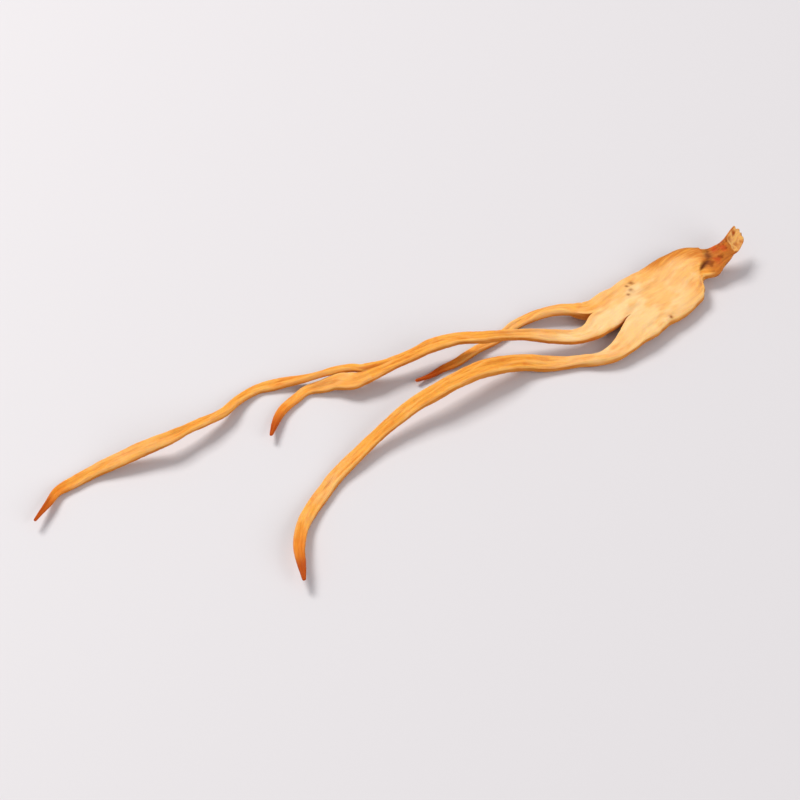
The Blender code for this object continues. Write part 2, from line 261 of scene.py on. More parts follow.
def dried_section(places, rows, angle, fullness, furrows, curl, seed, fork_share, notch):
    """Places across and up of every point of every ring, and how deep in a furrow each one is.

    The share across is the cosine of the angle, and the rise is its sine to the power of the fullness, which
    keeps the faces flat up to the rims. Each edge swells and shrinks by itself. A furrow is a bell of the
    share across that lowers the rise of one face. It wanders and comes and goes along the run. A notch
    deepens in the same way before a fork. The curl lifts both rims over the middle, by the square of the
    share.
    """
    angle = angle[None, :]
    share = np.cos(angle)
    rise = np.sign(np.sin(angle)) * np.abs(np.sin(angle)) ** fullness
    near_edge = 1 + EDGE_SWELL * wander(places, length=9.0, seed=seed)[:, None]
    far_edge = 1 + EDGE_SWELL * wander(places, length=11.0, seed=seed + 1)[:, None]
    swollen = 1 + THICKNESS_SWELL * wander(places, length=7.0, seed=seed + 2)[:, None]
    half_width = rows[:, WIDTH][:, None] / 2 * np.where(share > 0, near_edge, far_edge)
    half_thickness = rows[:, THICKNESS][:, None] / 2 * swollen
    sunk = np.zeros((len(places), angle.size))
    for index, (on_top, middle, spread, depth) in enumerate(furrows):
        drift = FURROW_DRIFT * wander(places, length=17.0 + 3 * index, seed=seed + 10 + index)[:, None]
        swing = wander(places, length=12.0 + 2 * index, seed=seed + 20 + index)[:, None]
        strength = np.clip(0.65 + 0.5 * swing, 0.05, 1.2)
        face = smooth_step(0.5 + 1.6 * rise) if on_top else smooth_step(0.5 - 1.6 * rise)
        sunk = sunk + depth * strength * bell(share - middle - drift, spread) * face
    if fork_share is not None:
        notch_depth, notch_run = notch
        reached = np.clip(1 - (places[-1] - places) / notch_run, 0, 1)[:, None] ** 2
        sunk = sunk + notch_depth * reached * bell(share - fork_share, NOTCH_SPREAD)
    sunk = np.clip(sunk, 0, DEEPEST_FURROW)
    curled = curl * (0.4 + 0.8 * wander(places, length=21.0, seed=seed + 3)[:, None])
    bend = curled * half_width * (share**2 - 0.35)
    return half_width * share, half_thickness * rise * (1 - sunk) + bend, sunk


class Skin:
    """The mesh so far: its points with their flow and traits, its faces, and the faces on the flat sheet.

    The flow of a point is how far it is along the run from the cut foot, and its places across and up. Its
    traits are the ways to the tip and to the nearer edge, the depth in a furrow, the half thickness, and 1
    on the cut face.
    """

    def __init__(self):
        self.points = []
        self.flow = []
        self.traits = []
        self.quads = []
        self.quad_sheet = []
        self.fans = []
        self.fan_sheet = []
        self.count = 0

    def add(self, points, flow, traits):
        """Adds points of any grid shape, and returns their numbers in that shape."""
        numbers = self.count + np.arange(points[..., 0].size).reshape(points.shape[:-1])
        self.points.append(points.reshape(-1, 3))
        self.flow.append(flow.reshape(-1, 3))
        self.traits.append(traits.reshape(-1, TRAIT_COUNT))
        self.count += numbers.size
        return numbers

    def cover(self, numbers, sheet_along, strip):
        """Skins a tube of rings, and lays it on the flat sheet as a strip cut open at its first column.

        A strip is given by its left end, its lower edge and its height on the sheet.
        """
        beside = np.roll(numbers, -1, axis=1)
        self.quads.append(np.stack((numbers[:-1], beside[:-1], beside[1:], numbers[1:]), -1).reshape(-1, 4))
        left, bottom, height = strip
        edges = bottom + height * np.arange(numbers.shape[1] + 1) / numbers.shape[1]
        sheet = np.stack(np.meshgrid(left + sheet_along, edges, indexing="ij"), -1)
        corners = np.stack((sheet[:-1, :-1], sheet[:-1, 1:], sheet[1:, 1:], sheet[1:, :-1]), -2)
        self.quad_sheet.append(corners.reshape(-1, 4, 2))

    def close(self, ring, pole, ring_along, pole_along, strip):
        """Closes a ring with a fan of triangles about its pole.

        It faces back along the run before a first ring, and on along the run past a last one.
        """
        beside = np.roll(ring, -1)
        middle = np.full_like(ring, pole)
        left, bottom, height = strip
        low = bottom + height * np.arange(len(ring)) / len(ring)
        high = low + height / len(ring)
        near = np.full(len(ring), left + ring_along)
        far = np.full(len(ring), left + pole_along)
        low_corner = np.column_stack((near, low))
        high_corner = np.column_stack((near, high))
        far_corner = np.column_stack((far, (low + high) / 2))
        if pole_along > ring_along:
            self.fans.append(np.column_stack((ring, beside, middle)))
            self.fan_sheet.append(np.stack((low_corner, high_corner, far_corner), 1))
        else:
            self.fans.append(np.column_stack((beside, ring, middle)))
            self.fan_sheet.append(np.stack((high_corner, low_corner, far_corner), 1))


skin = Skin()


def grow(route, width, thickness, fullness, furrows, curl, seed, strip, root=None, columns=None,
         fork_share=None, notch=None, has_tip=False, is_foot=False):
    """Adds the skin of one stretch, and returns its rings.

    A point is the middle of its ring, plus its places across and up along the two directions of the section.
    After a fork those places start as they were on the parent's last ring, and turn into the stretch's own
    over ROOT_RUN. The cut of the foot slants each point along the run by shares of its places.
    """
    stations = stations_of(route, width, thickness)
    start = SimpleNamespace(direction=None, place=0.0, offset=0.0) if root is None else root
    if root is not None:
        stations = np.vstack((root.station, stations))
    places, rows, along = smooth_run(stations, start.direction)
    along = slow_turn(along)
    across, up = section_axes(rows, along)
    count = columns if root is None else len(root.numbers)
    angle, fork_column = column_angles(count, width / thickness, fork_share)
    if is_foot:
        fullness = CUT_FULLNESS + (fullness - CUT_FULLNESS) * smooth_step(places / CUT_RUN)[:, None]
    side, rise, sunk = dried_section(places, rows, angle, fullness, furrows, curl, seed, fork_share, notch)
    share = np.broadcast_to(np.cos(angle), side.shape)
    if root is not None:
        own = smooth_step(places / ROOT_RUN)[:, None]
        side = (1 - own) * root.side + own * side
        rise = (1 - own) * root.rise + own * rise
        sunk = (1 - own) * root.sunk + own * sunk
        share = (1 - own) * root.share + own * share
    rings = rows[:, None, :3] + side[..., None] * across[:, None, :] + rise[..., None] * up[:, None, :]
    if is_foot:
        reached = np.clip(1 - places / CUT_RUN, 0, 1)[:, None] ** 2
        slant = reached * (CUT_SLANT_ACROSS * side + CUT_SLANT_UP * rise)
        rings = rings + slant[..., None] * along[:, None, :]
    run_place = np.broadcast_to((start.place + places)[:, None], side.shape)
    flow = np.stack((run_place, start.offset + side, rise), -1)
    traits = np.zeros(side.shape + (TRAIT_COUNT,))
    traits[..., TO_TIP] = (places[-1] - places)[:, None] if has_tip else NO_TIP
    traits[..., TO_EDGE] = rows[:, WIDTH][:, None] / 2 * (1 - np.abs(share))
    traits[..., SUNK] = sunk
    traits[..., HALF_THICKNESS] = rows[:, THICKNESS][:, None] / 2
    if root is None:
        numbers = skin.add(rings, flow, traits)
    else:
        numbers = np.vstack((root.numbers, skin.add(rings[1:], flow[1:], traits[1:])))
    skin.cover(numbers, places, strip)
    return SimpleNamespace(
        places=places, rows=rows, along=along, across=across, up=up, rings=rings, traits=traits,
        numbers=numbers, side=side, rise=rise, sunk=sunk, share=share, strip=strip,
        place=start.place + places[-1], offset=start.offset, fork_column=fork_column,
    )


def part_in_two(run, upper_width, wall_columns):
    """Parts the last ring of a run between its two halves, and returns the roots of both.

    The two share a wall: columns on a straight line from the fork's column on the top face down to its
    mirror image. The lower half starts at the near rim and takes the wall downwards. The upper half starts
    half way up the wall and goes round by the far rim. A root is as thick as the section is at the root's
    middle: the full thickness, times 1 less the square of that share of the half width, to half the power
    of ROOT_FULLNESS.
    """
    end_width, end_thickness, roll = run.rows[-1, WIDTH:]
    ring = run.numbers[-1]
    top = run.fork_column
    bottom = len(ring) - top
    down = (np.arange(1, wall_columns + 1) / (wall_columns + 1))[:, None]
    last = np.column_stack((run.side[-1], run.rise[-1], run.sunk[-1], run.share[-1]))
    wall = (1 - down) * last[top] + down * last[bottom]
    points = run.rows[-1, :3] + wall[:, :1] * run.across[-1] + wall[:, 1:2] * run.up[-1]
    flow = np.column_stack((np.full(wall_columns, run.place), run.offset + wall[:, 0], wall[:, 1]))
    traits = (1 - down) * run.traits[-1, top] + down * run.traits[-1, bottom]
    wall_numbers = skin.add(points, flow, traits)
    half = wall_columns // 2
    back_up = wall[::-1]
    numbers_up = wall_numbers[::-1]
    loops = {
        -1: (np.vstack((back_up[half:], last[top:bottom + 1], back_up[:half])),
             np.concatenate((numbers_up[half:], ring[top:bottom + 1], numbers_up[:half]))),
        1: (np.vstack((last[:top + 1], wall, last[bottom:])),
            np.concatenate((ring[:top + 1], wall_numbers, ring[bottom:]))),
    }
    roots = []
    for side, root_width in ((-1, upper_width), (1, end_width - upper_width)):
        offset = side * (end_width - root_width) / 2
        thickness = end_thickness * (1 - (2 * offset / end_width) ** 2) ** (ROOT_FULLNESS / 2)
        middle = run.rows[-1, :3] + offset * run.across[-1]
        loop, numbers = loops[side]
        roots.append(SimpleNamespace(
            station=np.array((*middle, root_width, thickness, roll)), direction=run.along[-1],
            numbers=numbers, side=loop[:, 0] - offset, rise=loop[:, 1], sunk=loop[:, 2], share=loop[:, 3],
            place=run.place, offset=run.offset + offset,
        ))
    return roots


def cut_face(run):
    """Closes the foot with the rings of its cut face, each the rim drawn in to its middle and set inwards.

    What stands as the depth in a furrow is how dark the face is: a little on the floor, as painted shade in
    the hollow, and most at the rim, as a dark brown line.
    """
    rim = run.rings[0]
    middle = rim.mean(axis=0)
    share, inward = np.array(CUT_FACE_RINGS).T
    rings = middle + share[:, None, None] * (rim - middle) + (inward[:, None] * run.along[0])[:, None, :]
    flow = np.stack(np.broadcast_arrays(
        -CUT_FLOW * (1 - share)[:, None], share[:, None] * run.side[0], share[:, None] * run.rise[0]
    ), -1)
    painted_floor_shade = 0.3 * smooth_step((0.5 - share) / 0.3)
    dark_rim = smooth_step((share - 0.86) / 0.08)
    traits = np.repeat(run.traits[:1], len(share), axis=0)
    traits[..., TO_EDGE] = NO_EDGE
    traits[..., SUNK] = (painted_floor_shade + dark_rim)[:, None]
    traits[..., ON_CUT] = smooth_step((1.0 - share) / 0.03)[:, None]
    numbers = skin.add(rings, flow, traits)
    sheet_along = -CUT_SHEET * (1 - share)
    skin.cover(np.vstack((numbers, run.numbers[0])), np.append(sheet_along, 0.0), run.strip)
    floor = middle + CUT_FLOOR * run.along[0]
    pole = skin.add(floor, np.array((-CUT_FLOW, 0.0, 0.0)), traits[0, 0])
    skin.close(numbers[0], pole, sheet_along[0], -CUT_SHEET, run.strip)


# A furrow: whether it is on the top face, its middle and spread in shares of the half width, and its depth
# as a share of the rise
blade = grow(
    route=FOOT_AND_BLADE_ROUTE, width=BLADE_WIDTH, thickness=BLADE_THICKNESS, fullness=0.52,
    furrows=(
        (True, -0.66, 0.14, 0.12), (True, -0.25, 0.20, 0.12), (True, 0.42, 0.18, 0.10),
        (True, 0.80, 0.07, 0.16), (False, -0.45, 0.16, 0.22), (False, 0.02, 0.12, 0.18),
        (False, 0.50, 0.17, 0.20),
    ),
    curl=0.05, seed=1, strip=(2.6, 18.8, 19.3), columns=BLADE_COLUMNS,
    fork_share=2 * THROAT_ROOT_WIDTH / BLADE_WIDTH - 1, notch=BLADE_NOTCH, is_foot=True,
)
cut_face(blade)
throat_root, lower_root = part_in_two(blade, THROAT_ROOT_WIDTH, wall_columns=9)


# Throat
# The throat is the short stretch in which the upper and the middle stalk are still fused. It dried flat, as
# the blade did, with a shallow valley between the two.

THROAT_WIDTH = 5.2
THROAT_THICKNESS = 1.7
UPPER_ROOT_WIDTH = 2.2

THROAT_ROUTE = (
    (24.0, 13.3, 0.45, 1.00, 0.92, 0),
    (22.9, 12.5, 0.58, 1.00, 0.92, 0),
)

throat = grow(
    route=THROAT_ROUTE, width=THROAT_WIDTH, thickness=THROAT_THICKNESS, fullness=0.52,
    furrows=((True, -0.5, 0.2, 0.12), (True, 0.45, 0.2, 0.14), (False, 0.1, 0.25, 0.3)),
    curl=0.05, seed=101, strip=(27.0, 18.8, 11.6), root=throat_root,
    fork_share=2 * UPPER_ROOT_WIDTH / THROAT_WIDTH - 1, notch=BLADE_NOTCH,
)
upper_root, middle_root = part_in_two(throat, UPPER_ROOT_WIDTH, wall_columns=9)


# Upper stalk
# The thinnest stalk leaves the throat on the far side and runs down behind the others, twisted, to a tip
# that dried to a thread.

UPPER_WIDTH = 1.2
UPPER_THICKNESS = 0.8

UPPER_ROUTE = (
    (20.9, 13.8, 0.64, 1.43, 1.42, 4),
    (19.7, 13.9, 0.70, 1.35, 1.27, 12),
    (18.0, 13.8, 0.55, 1.40, 1.35, 28),
    (16.3, 13.5, 0.30, 1.42, 1.30, 25),
    (14.6, 12.9, 0.10, 1.10, 0.98, 0),
    (13.3, 12.1, -0.06, 1.00, 0.90, -8),
    (12.2, 10.8, -0.06, 0.95, 0.88, 0),
    (10.9, 9.6, -0.06, 0.98, 0.90, 10),
    (9.3, 8.5, 0.00, 1.04, 0.88, 20),
    (7.8, 7.2, 0.10, 0.98, 0.88, 10),
    (6.5, 6.2, 0.05, 0.87, 0.82, 0),
    (5.0, 5.4, -0.05, 0.74, 0.73, 0),
    (3.5, 4.2, 0.10, 0.55, 0.59, 10),
    (2.1, 3.3, 0.45, 0.32, 0.42, 20),
)

# Angles of the rings that round off a tip, how far it reaches past the last station, and its pole's room on
# the flat sheet
TIP_ANGLES = np.radians((22.0, 44.0, 62.0, 77.0))
TIP_LENGTH = 0.3
TIP_SHEET = 0.15


def round_tip(run):
    """Closes a tip: each ring is the last one times the cosine of its angle, moved on by its sine."""
    middle = run.rows[-1, :3]
    inward = np.cos(TIP_ANGLES)[:, None, None]
    onward = TIP_LENGTH * np.sin(TIP_ANGLES)
    rings = middle + inward * (run.rings[-1] - middle) + (onward[:, None] * run.along[-1])[:, None, :]
    flow = np.stack(np.broadcast_arrays(
        run.place + onward[:, None],
        run.offset + inward[..., 0] * run.side[-1],
        inward[..., 0] * run.rise[-1],
    ), -1)
    traits = np.repeat(run.traits[-1:], len(TIP_ANGLES), axis=0)
    numbers = skin.add(rings, flow, traits)
    sheet_along = run.places[-1] + onward
    skin.cover(np.vstack((run.numbers[-1], numbers)), np.append(run.places[-1], sheet_along), run.strip)
    end = middle + TIP_LENGTH * run.along[-1]
    pole = skin.add(end, np.array((run.place + TIP_LENGTH, run.offset, 0.0)), traits[0, 0])
    skin.close(numbers[-1], pole, sheet_along[-1], sheet_along[-1] + TIP_SHEET, run.strip)


upper_stalk = grow(
    route=UPPER_ROUTE, width=UPPER_WIDTH, thickness=UPPER_THICKNESS, fullness=0.60,
    furrows=((True, 0.05, 0.30, 0.34), (False, -0.1, 0.4, 0.4)),
    curl=0.18, seed=201, strip=(30.8, 12.7, 4.0), root=upper_root, has_tip=True,
)
round_tip(upper_stalk)


# Middle stalk
# The middle stalk arches over the surface from the throat. It is flat and furrowed, and widens again where
# its two tips part.

MIDDLE_WIDTH = 1.7
MIDDLE_THICKNESS = 1.05
MIDDLE_END_SHARE = 1.62
MIDDLE_NOTCH = (0.75, 9.0)
LONG_TIP_ROOT_WIDTH = 0.95

MIDDLE_ROUTE = (
    (22.1, 10.1, 0.78, 1.32, 1.20, -3),
    (20.4, 9.3, 0.95, 1.12, 1.10, -5),
    (17.7, 9.0, 1.40, 0.98, 1.02, -12),
    (14.9, 8.8, 1.90, 0.86, 0.95, -6),
    (12.4, 8.4, 2.25, 0.82, 0.91, 4),
    (9.6, 7.9, 2.35, 0.96, 0.94, 10),
    (6.7, 7.8, 2.20, 0.92, 0.94, 2),
    (4.0, 7.1, 1.95, 0.96, 0.97, -8),
    (1.2, 5.7, 1.65, 0.87, 0.91, -6),
    (-1.2, 4.5, 1.40, 1.00, 0.93, 0),
    (-3.5, 3.5, 1.15, MIDDLE_END_SHARE, 0.98, 2),
)

middle_stalk = grow(
    route=MIDDLE_ROUTE, width=MIDDLE_WIDTH, thickness=MIDDLE_THICKNESS, fullness=0.54,
    furrows=((True, -0.15, 0.24, 0.26), (True, 0.5, 0.16, 0.18), (False, 0.1, 0.36, 0.42)),
    curl=0.14, seed=301, strip=(0.7, 12.7, 5.6), root=middle_root,
    fork_share=2 * LONG_TIP_ROOT_WIDTH / (MIDDLE_WIDTH * MIDDLE_END_SHARE) - 1, notch=MIDDLE_NOTCH,
)
long_root, side_root = part_in_two(middle_stalk, LONG_TIP_ROOT_WIDTH, wall_columns=7)


# Long tip
# The far half of the last fork twists edge on, runs out low over the surface, rises once more and widens
# before it ends in the tip that reaches furthest from the foot.

LONG_TIP_WIDTH = 1.7
LONG_TIP_THICKNESS = 0.95

LONG_TIP_ROUTE = (
    (-5.6, 4.3, 1.20, 0.50, 0.82, 10),
    (-7.4, 4.0, 1.10, 0.52, 0.82, 25),
    (-9.2, 3.5, 0.85, 0.66, 0.88, 40),
    (-10.9, 3.2, 0.55, 0.63, 0.84, 25),
    (-12.6, 3.0, 0.25, 0.74, 0.90, 5),
    (-14.4, 2.7, 0.00, 0.80, 0.92, -10),
    (-16.2, 2.2, -0.08, 0.70, 0.84, -5),
    (-18.0, 0.7, 0.15, 0.69, 0.82, 10),
    (-20.1, -2.4, 0.75, 0.84, 0.92, 25),
    (-21.9, -4.0, 1.25, 0.82, 0.90, 15),
    (-23.7, -5.3, 1.60, 0.72, 0.86, 0),
    (-26.2, -7.1, 1.65, 0.95, 1.00, -10),
    (-28.9, -8.2, 1.20, 1.11, 1.06, -5),
    (-31.5, -9.3, 0.55, 1.11, 1.08, 5),
    (-34.1, -10.4, 0.00, 0.98, 0.97, 8),
    (-36.6, -12.1, -0.08, 0.88, 0.92, 0),
    (-38.2, -13.5, 0.15, 0.65, 0.80, -10),
    (-39.2, -15.8, 0.60, 0.47, 0.66, -20),
    (-40.3, -18.2, 1.10, 0.22, 0.38, -20),
)

long_tip = grow(
    route=LONG_TIP_ROUTE, width=LONG_TIP_WIDTH, thickness=LONG_TIP_THICKNESS, fullness=0.58,
    furrows=((True, 0.0, 0.28, 0.34), (False, 0.1, 0.36, 0.42)),
    curl=0.18, seed=401, strip=(0.7, 7.4, 4.6), root=long_root, has_tip=True,
)
round_tip(long_tip)


# Side tip
# The near half of the last fork is short, and starts broader than the far half. It lies down on the surface
# and thins to a tip that curls up.

SIDE_TIP_WIDTH = 1.9
SIDE_TIP_THICKNESS = 0.95

SIDE_TIP_ROUTE = (
    (-5.4, 2.4, 0.85, 1.15, 1.04, -4),
    (-7.3, 2.6, 0.50, 1.01, 0.98, -10),
    (-8.9, 2.3, 0.15, 0.82, 0.96, -15),
    (-10.4, 2.0, -0.06, 0.66, 0.88, -5),
    (-11.9, 0.6, -0.08, 0.61, 0.84, 5),
    (-13.3, -1.2, 0.05, 0.56, 0.80, 15),
    (-14.1, -3.4, 0.40, 0.46, 0.69, 20),
    (-14.5, -5.4, 0.90, 0.24, 0.42, 20),
)

side_tip = grow(
    route=SIDE_TIP_ROUTE, width=SIDE_TIP_WIDTH, thickness=SIDE_TIP_THICKNESS, fullness=0.58,
    furrows=((True, 0.1, 0.28, 0.34), (False, 0.0, 0.36, 0.4)),
    curl=0.18, seed=501, strip=(27.0, 31.6, 5.0), root=side_root, has_tip=True,
)
round_tip(side_tip)


# Lower stalk
# The longest stalk leaves the blade on the near side, passes low beside the others, arches up in its middle
# and swings round towards the viewer before it ends in a raised tip.

LOWER_WIDTH = 1.8
LOWER_THICKNESS = 1.05

LOWER_ROUTE = (
    (26.1, 8.4, 0.30, 1.57, 1.26, 4),
    (24.5, 7.0, 0.12, 1.27, 1.21, 14),
    (22.9, 6.5, 0.00, 1.00, 1.15, 20),
    (21.2, 6.4, -0.06, 0.83, 1.03, 10),
    (18.9, 6.1, -0.08, 0.95, 1.05, 0),
    (16.6, 5.8, 0.15, 1.08, 1.07, -8),
    (14.5, 5.5, 0.65, 1.16, 1.09, -5),
    (12.0, 4.5, 1.30, 1.29, 1.16, 0),
    (9.6, 3.3, 1.80, 1.27, 1.17, 6),
    (6.9, 1.5, 2.10, 1.21, 1.14, 10),
    (3.8, -0.7, 2.05, 1.10, 1.06, 4),
    (1.3, -2.4, 1.75, 0.98, 0.98, -4),
    (-1.0, -4.5, 1.30, 0.87, 0.91, -8),
    (-3.3, -6.8, 0.75, 0.87, 0.91, 0),
    (-5.4, -9.2, 0.25, 0.94, 0.93, 8),
    (-7.0, -11.1, -0.06, 0.95, 0.93, 10),
    (-8.4, -13.5, -0.08, 0.95, 0.95, 4),
    (-9.5, -15.6, 0.05, 0.92, 0.92, -4),
    (-10.4, -17.8, 0.35, 0.86, 0.87, -12),
    (-10.9, -20.2, 0.75, 0.78, 0.82, -12),
    (-11.0, -22.6, 1.10, 0.70, 0.76, 0),
    (-10.7, -24.9, 1.30, 0.55, 0.64, 10),
    (-10.4, -26.9, 1.40, 0.28, 0.39, 15),
)

lower_stalk = grow(
    route=LOWER_ROUTE, width=LOWER_WIDTH, thickness=LOWER_THICKNESS, fullness=0.54,
    furrows=((True, -0.1, 0.24, 0.26), (True, 0.55, 0.15, 0.18), (False, 0.1, 0.36, 0.42)),
    curl=0.14, seed=601, strip=(0.7, 0.7, 6.0), root=lower_root, has_tip=True,
)
round_tip(lower_stalk)


# Skin
# The fruit body is one piece of leathery dried fungus. Its skin shrank into long wrinkles and fine streaks
# that run with the stalks, cream on the blade, golden on the stalks, and brown at the foot.

MM = 0.001

# Middle of the footprint in the coordinates of the routes, softness of the flat places on which the
# underside rests, and size of the flat sheet
FOOTPRINT_MIDDLE = np.array((0.08, -1.10, 0.0))
REST_SOFTNESS = 0.05
SHEET_SIZE = np.array((62.2, 39.0))

# Along the run: where the blade starts to end and over what way, and where the neck is and its width
BLADE_END = 20.0
BLADE_FADE = 8.0
NECK_PLACE = 5.5
NECK_WIDTH = 2.4

# Nook across the near half of the foot's end: its place along the run and how much that grows with the place
# across, its middle and half length across, and its width. Then how far past it the lip is, and its width
NOOK_PLACE = 4.35
NOOK_SLANT = 0.75
NOOK_MIDDLE = 0.75
NOOK_HALF = 0.75
NOOK_WIDTH = 0.32
LIP_PLACE = 0.45
LIP_WIDTH = 0.30

# Heights and depths of the relief that are the same everywhere
EDGE_HEIGHT = 0.05
STREAK_HEIGHT = 0.012
CREASE_DEPTH = 0.02
PIMPLE_HEIGHT = 0.010
CUT_ROUGHNESS = 0.06
LIP_HEIGHT = 0.09
NOOK_DEPTH = 0.15

# Cream: where it starts and starts to end, how far sooner on the far side, and the run in which it fades out
CREAM_START = 5.0
CREAM_END = 23.0
CREAM_SOONER = 9.0
CREAM_FADE = 12.0

# Each stalk is pale about this far from its tip, over this way to both sides, and reddens over its last run
PALE_BEFORE_TIP = 15.0
PALE_RUN = 5.0
TIP_RUN = 9.0

# Width of the painted highlight along the rims, and the place along the run at which the brown of the foot
# ends
RIM_WIDTH = 0.32
FOOT_END = 4.9

# Red stains on the foot: way along the run, way across and radius
STAINS = (
    (1.5, -0.5, 0.55),
    (3.3, 0.5, 0.40),
    (2.6, -0.9, 0.45),
)

# Dark specks on the blade: x, y and radius
SPECKS = (
    (27.2, 19.0, 0.28),
    (26.6, 18.4, 0.21),
    (27.1, 17.7, 0.28),
    (26.7, 16.9, 0.22),
    (31.6, 13.4, 0.20),
)


def noise(places, seed):
    """Gradient noise between about -1 and 1.

    Each corner of the unit cell round a place has a random direction. The value is 1.6 times the sum, over
    the corners, of that direction times the way from the corner, weighted by a smooth fade of the place in
    the cell.
    """
    random = np.random.default_rng(seed)
    directions = unit(random.normal(size=(256, 3)))
    order = random.permutation(256)
    cell = np.floor(places).astype(int)
    inside = places - cell
    fade = inside**3 * (inside * (inside * 6 - 15) + 10)
    total = np.zeros(len(places))
    for corner in itertools.product((0, 1), repeat=3):
        x, y, z = ((cell + corner) % 256).T
        direction = directions[order[(order[(order[x] + y) % 256] + z) % 256]]
        weight = np.prod(np.where(corner, fade, 1 - fade), axis=1)
        total += weight * np.sum(direction * (inside - corner), axis=1)
    return 1.6 * total


def crests(places, seed):
    """1 less twice the size of the noise: 1 on thin crest lines, falling off to both sides."""
    return 1 - 2 * np.abs(noise(places, seed))


points = np.concatenate(skin.points) - FOOTPRINT_MIDDLE
flow = np.concatenate(skin.flow)
way, aside, height = flow.T
to_tip, to_edge, sunk, half_thickness, on_cut = np.concatenate(skin.traits).T
quads = np.concatenate(skin.quads)
fans = np.concatenate(skin.fans)

mesh = bpy.data.meshes.new("fruit_body")
mesh.from_pydata(points.tolist(), [], quads.tolist() + fans.tolist())
normals = np.empty(3 * len(points))
mesh.vertices.foreach_get("normal", normals)
normals = normals.reshape(-1, 3)
facing_up = normals[:, 2]

# Relief, in millimetres along the normal: wrinkles that run with the stalks and wander, then cross creases.
# A nook runs across the near half of the foot's end, and the skin of the blade stands over it as a lip. The
# flow is scaled for each noise by its cells to the millimetre along, across and up. Thin stretches have less
# relief
slow_flow = flow * (0.16, 0.3, 0.3)
bent = flow + np.column_stack((
    np.zeros(len(flow)), 0.7 * noise(slow_flow, 11), 0.4 * noise(slow_flow, 12)
))
swells = noise(bent * (0.20, 0.42, 0.42), 13)
wrinkles = crests(bent * (0.14, 0.95, 0.95), 14)
fine_wrinkles = crests(bent * (0.30, 2.1, 2.1), 15)
streaks = noise(bent * (0.45, 4.2, 4.2), 16)
creases = crests(bent * (0.85, 0.30, 0.30), 17)
pimples = noise(flow * 2.6, 18)
facets = crests(flow * (0.5, 1.5, 1.5), 19)
on_blade = 1 - smooth_step((way - BLADE_END) / BLADE_FADE)
at_neck = bell(way - NECK_PLACE, NECK_WIDTH)
nook_way = way - NOOK_PLACE - NOOK_SLANT * aside
nook_reach = np.exp(-(((aside - NOOK_MIDDLE) / NOOK_HALF) ** 4)) * (facing_up > 0)
nook = nook_reach * bell(nook_way, NOOK_WIDTH)
lip = nook_reach * bell(nook_way - LIP_PLACE, LIP_WIDTH)
thin = np.clip(half_thickness / 0.45, 0.25, 1)
swell_height = 0.05 + 0.05 * on_blade
wrinkle_height = 0.045 - 0.020 * on_blade + 0.030 * at_neck
fine_height = 0.022 - 0.008 * on_blade + 0.012 * at_neck
raised_edge = bell(to_edge - 0.14, 0.10) * (facing_up > 0.3)
relief = thin * (
    swell_height * swells
    + wrinkle_height * (wrinkles - 0.4)
    + fine_height * (fine_wrinkles - 0.4)
    + EDGE_HEIGHT * raised_edge
    + STREAK_HEIGHT * streaks
    - CREASE_DEPTH * np.clip(creases - 0.55, 0, 1) / 0.45
    + PIMPLE_HEIGHT * pimples
)
relief = relief * (1 - on_cut) - CUT_ROUGHNESS * on_cut * (1 - facets)
relief = relief + LIP_HEIGHT * lip - NOOK_DEPTH * nook
points = points + relief[:, None] * normals
# The underside flattens where it rests: a height becomes the mean of itself and of the hypotenuse that it
# makes with REST_SOFTNESS
points[:, 2] = (points[:, 2] + np.hypot(points[:, 2], REST_SOFTNESS)) / 2
mesh.vertices.foreach_set("co", (points * MM).ravel())

sheet = mesh.uv_layers.new(name="OFBake")
corners = np.concatenate((np.concatenate(skin.quad_sheet).reshape(-1, 2),
                          np.concatenate(skin.fan_sheet).reshape(-1, 2)))
sheet.data.foreach_set("uv", (corners / SHEET_SIZE).ravel())
mesh.shade_smooth()
mesh.update()


def keep_on_points(name, values):
    """Stores one number for each point of the mesh under that name, for the material to read."""
    mesh.attributes.new(name, "FLOAT", "POINT").data.foreach_set("value", values.astype(np.float32))


def speck_cover():
    """1 at the middle of a speck on the upper face, falling off as a bell of the distance from it."""
    cover = np.zeros(len(points))
    for x, y, radius in SPECKS:
        away = np.hypot(points[:, 0] - x, points[:, 1] - y) / radius + 0.5 * pimples
        cover = np.maximum(cover, bell(away, 1.0) * (facing_up > 0.3))
    return cover


def stain_cover():
    """1 in the middle of a red stain on the upper side of the foot, a bell with an uneven outline."""
    cover = np.zeros(len(points))
    for place, side, radius in STAINS:
        away = np.hypot(way - place, aside - side) / radius + 0.6 * pimples
        cover = np.maximum(cover, bell(away, 1.0) * (height > 0))
    return cover


patches = noise(flow * (0.30, 0.45, 0.45), 21)
upward = smooth_step((facing_up - 0.05) / 0.5)
# Painted highlight along the upper rims: near an edge, on faces that look up
rim = (1 - smooth_step(to_edge / RIM_WIDTH)) * smooth_step((facing_up - 0.25) / 0.3)

# Cream on the blade, fading towards both edges, by the neck and out along the stalks, the far one first
cream_end = CREAM_END - CREAM_SOONER * smooth_step((-1.9 - aside) / 1.2)
past_foot = smooth_step((way - CREAM_START + 0.8 * patches) / 3.0)
before_end = 1 - smooth_step((way - cream_end + 2 * patches) / CREAM_FADE)
between_edges = 1 - 0.25 * smooth_step((aside - 0.8) / 2.0) - 0.40 * smooth_step((-1.6 - aside) / 1.8)
by_neck = 1 - 0.25 * bell(way - 8.0, 2.5) * smooth_step((aside + 1.0) / 2.5)
cream = past_foot * before_end * between_edges * by_neck * upward

# Golden brown on the lobe beside the foot, at the far edge of the blade
lobe = (
    (aside < 0) * smooth_step((2.0 + 0.8 * patches - to_edge) / 1.4)
    * smooth_step((way - 3.6) / 1.4) * (1 - smooth_step((way - 8.5) / 3.0))
)
lobe_edge = lobe * (1 - smooth_step(to_edge / 0.45))

# Every stalk is paler once more for a stretch before its tip
before_tip = bell(to_tip - PALE_BEFORE_TIP, PALE_RUN) * (0.8 + patches) * upward

